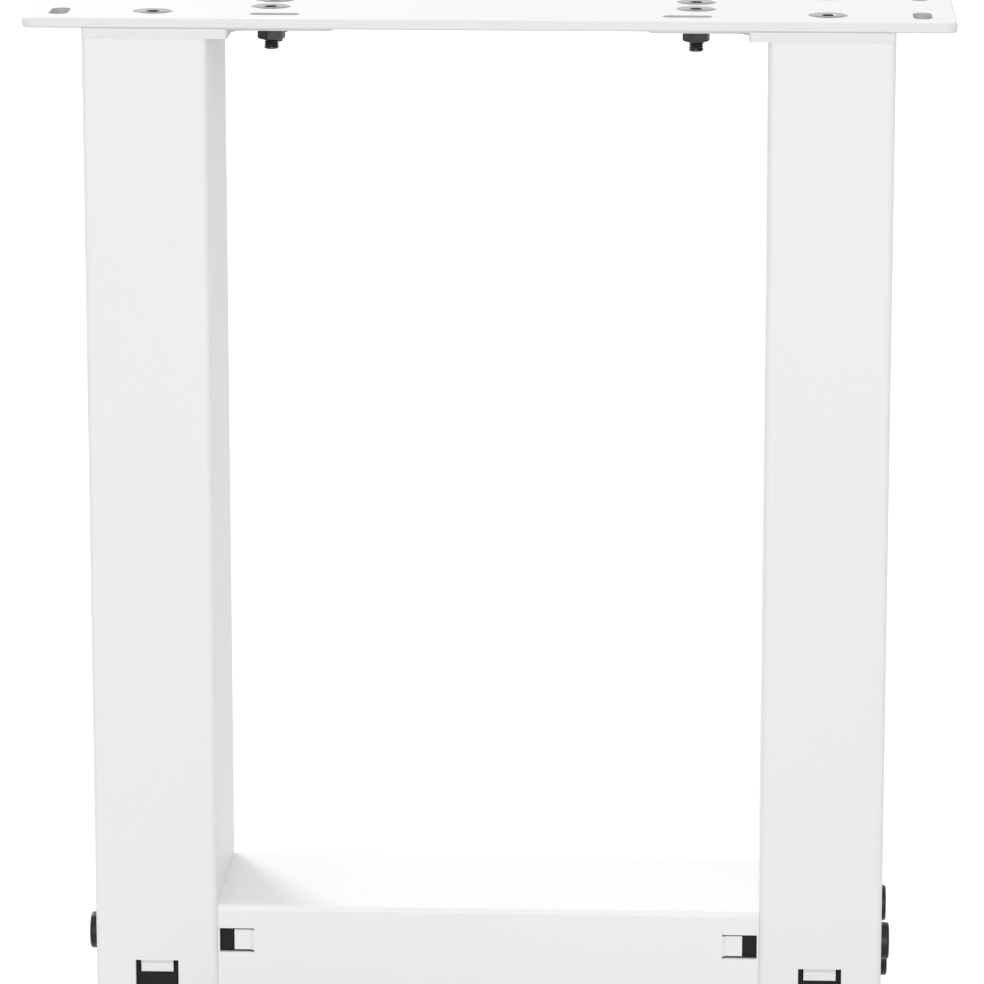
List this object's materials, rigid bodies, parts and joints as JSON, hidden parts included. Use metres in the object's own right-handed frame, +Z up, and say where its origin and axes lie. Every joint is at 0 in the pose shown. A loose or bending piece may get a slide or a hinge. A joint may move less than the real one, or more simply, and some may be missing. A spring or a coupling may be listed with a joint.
{
  "type": "u shaped table leg",
  "caption": "U shaped table leg in white powder coated steel: rectangular tube posts joined by a crossbar near the floor, under a slotted mounting plate for a table top.",
  "frame": {"origin": "on the floor, under the middle of the mounting plate", "axes": "+Z up, +X to the right along the mounting plate as seen from the front, +Y from the front, where plate, flanges and posts are flush, to the back"},
  "size_m": [0.37, 0.096, 0.42],
  "materials": {
    "white_powder_coat": "satin powder coat",
    "dark_steel": "black zinc",
    "black_plastic": "moulded, matte"
  },
  "bodies": {
    "root": {"top_plate": "white_powder_coat", "left_post": "white_powder_coat", "right_post": "white_powder_coat", "left_flange": "white_powder_coat", "right_flange": "white_powder_coat", "crossbar": "white_powder_coat", "left_bar_insert": "black_plastic", "right_bar_insert": "black_plastic", "left_end_plug": "black_plastic", "right_end_plug": "black_plastic", "countersunk_bolts": "dark_steel", "tongue_nuts": "dark_steel", "bar_bolts": "dark_steel"}
  },
  "joints": []
}
